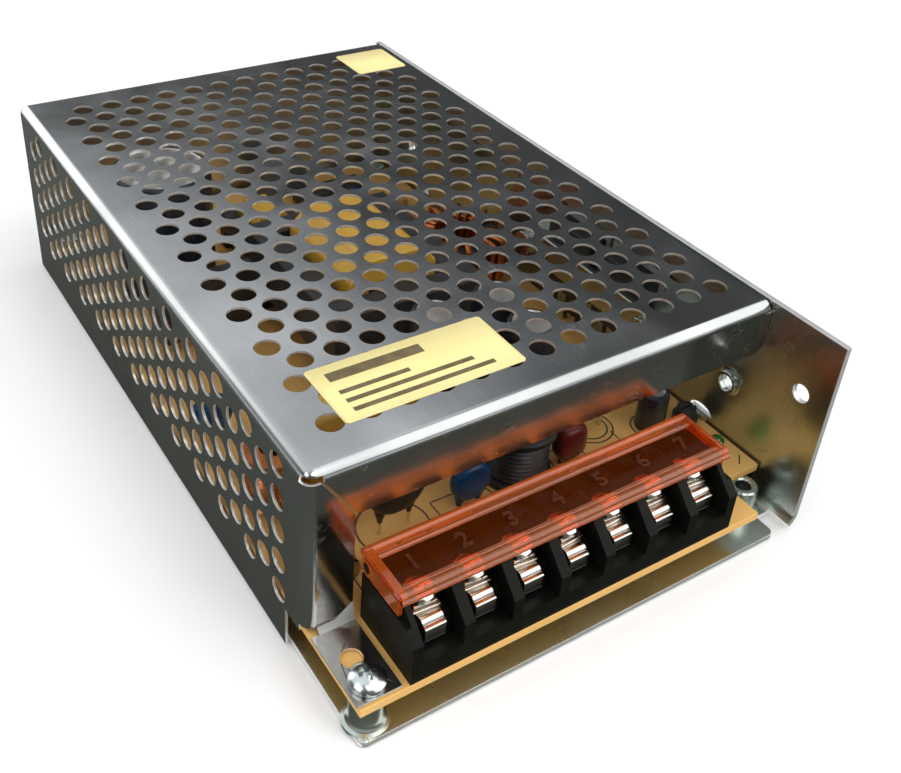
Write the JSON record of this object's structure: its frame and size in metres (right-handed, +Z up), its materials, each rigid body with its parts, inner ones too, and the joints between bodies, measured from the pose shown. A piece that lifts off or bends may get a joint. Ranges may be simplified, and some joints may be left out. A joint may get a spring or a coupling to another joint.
{
  "type": "power supply",
  "caption": "Enclosed switching power supply with a perforated sheet steel cover, folded base, screw terminals under a hinged see-through orange cover, and visible circuit board.",
  "frame": {"origin": "centre of the base's footprint, at the underside of the floor", "axes": "+X to the right seen from the terminals, +Y from the terminals to the rear, +Z up from the floor to the perforated top"},
  "size_m": [0.098, 0.16, 0.0431],
  "materials": {
    "base_sheet": "zinc-plated sheet steel, satin",
    "cover_sheet": "bright sheet steel, nearly mirror-like",
    "screw_zinc": "bright zinc plating",
    "label_yellow": "pale yellow coated paper, bare",
    "board_tan": "tan laminate with faint dark outlines",
    "block_black": "moulded black plastic, glossy",
    "nickel": "nickel plating",
    "lid_orange": "see-through orange-red moulded plastic",
    "part_black": "satin black",
    "rotor_white": "white plastic",
    "light_green": "tinted green resin",
    "disc_blue": "blue dipped coating",
    "drop_red": "dark red dipped coating",
    "bare_wire": "tinned copper wire",
    "fuse_glass": "glass tube with plated caps",
    "case_yellow": "yellow moulded case",
    "case_grey": "grey moulded case",
    "can_black": "dark printed sleeve on an aluminium can",
    "ferrite": "sintered grey ferrite",
    "tape_yellow": "yellow winding tape",
    "rail_black": "moulded pin rail",
    "copper_enamel": "enamelled copper wire",
    "pad_grey": "grey insulating pad",
    "clamp_zinc": "zinc-plated bar",
    "body_tan": "tan lacquered body"
  },
  "bodies": {
    "case": {"chassis": "base_sheet", "cover": "cover_sheet", "corner_screw": "screw_zinc", "board_screws": "screw_zinc", "rear_screws": "screw_zinc", "front_sticker": "label_yellow", "seal_sticker": "label_yellow", "circuit_board": "board_tan", "terminal_block": "block_black", "terminal_contacts": "nickel", "terminal_washers": "nickel", "trimmer_body": "part_black", "power_light": "light_green", "thermistor": "part_black", "disc_capacitors": "disc_blue", "line_choke": "part_black", "drop_capacitor": "drop_red", "shunt_wire": "bare_wire", "jumper_wires": "bare_wire", "small_capacitor": "can_black", "fuse": "fuse_glass", "line_capacitor": "case_yellow", "line_coil": "copper_enamel", "bridge_rectifier": "part_black", "bulk_capacitor": "can_black", "transformer_core": "ferrite", "transformer_winding": "tape_yellow", "transformer_rails": "rail_black", "driver_core": "ferrite", "driver_winding": "tape_yellow", "driver_rails": "rail_black", "output_ring": "ferrite", "output_winding": "copper_enamel", "output_capacitors": "can_black", "power_devices": "part_black", "insulating_pads": "pad_grey", "clamp_bar": "clamp_zinc", "clamp_screws": "screw_zinc", "control_chip": "part_black", "film_capacitor": "case_grey", "resistors": "body_tan"},
    "hinged_cover": {"terminal_cover": "lid_orange"},
    "rotor": {"trimmer_rotor": "rotor_white"},
    "screw_1": {"terminal_screw_1": "nickel"},
    "screw_2": {"terminal_screw_2": "nickel"},
    "screw_3": {"terminal_screw_3": "nickel"},
    "screw_4": {"terminal_screw_4": "nickel"},
    "screw_5": {"terminal_screw_5": "nickel"},
    "screw_6": {"terminal_screw_6": "nickel"},
    "screw_7": {"terminal_screw_7": "nickel"}
  },
  "joints": [
    {"name": "terminal_cover_hinge", "type": "hinge", "parent": "case", "child": "hinged_cover", "pos_m": [-0.0048, -0.065, 0.0211], "axis": [-1, 0, 0], "range_deg": [0, 75]},
    {"name": "trimmer_turn", "type": "hinge", "parent": "case", "child": "rotor", "pos_m": [0.0434, -0.053, 0.011], "axis": [0, 0, 1], "range_deg": [-135, 135]},
    {"name": "terminal_screw_1_turn", "type": "hinge", "parent": "case", "child": "screw_1", "pos_m": [-0.0333, -0.0714, 0.0188], "axis": [0, 0, 1], "range_deg": [0, 1080]},
    {"name": "terminal_screw_2_turn", "type": "hinge", "parent": "case", "child": "screw_2", "pos_m": [-0.0238, -0.0714, 0.0188], "axis": [0, 0, 1], "range_deg": [0, 1080]},
    {"name": "terminal_screw_3_turn", "type": "hinge", "parent": "case", "child": "screw_3", "pos_m": [-0.0143, -0.0714, 0.0188], "axis": [0, 0, 1], "range_deg": [0, 1080]},
    {"name": "terminal_screw_4_turn", "type": "hinge", "parent": "case", "child": "screw_4", "pos_m": [-0.0048, -0.0714, 0.0188], "axis": [0, 0, 1], "range_deg": [0, 1080]},
    {"name": "terminal_screw_5_turn", "type": "hinge", "parent": "case", "child": "screw_5", "pos_m": [0.0047, -0.0714, 0.0188], "axis": [0, 0, 1], "range_deg": [0, 1080]},
    {"name": "terminal_screw_6_turn", "type": "hinge", "parent": "case", "child": "screw_6", "pos_m": [0.0142, -0.0714, 0.0188], "axis": [0, 0, 1], "range_deg": [0, 1080]},
    {"name": "terminal_screw_7_turn", "type": "hinge", "parent": "case", "child": "screw_7", "pos_m": [0.0237, -0.0714, 0.0188], "axis": [0, 0, 1], "range_deg": [0, 1080]}
  ]
}
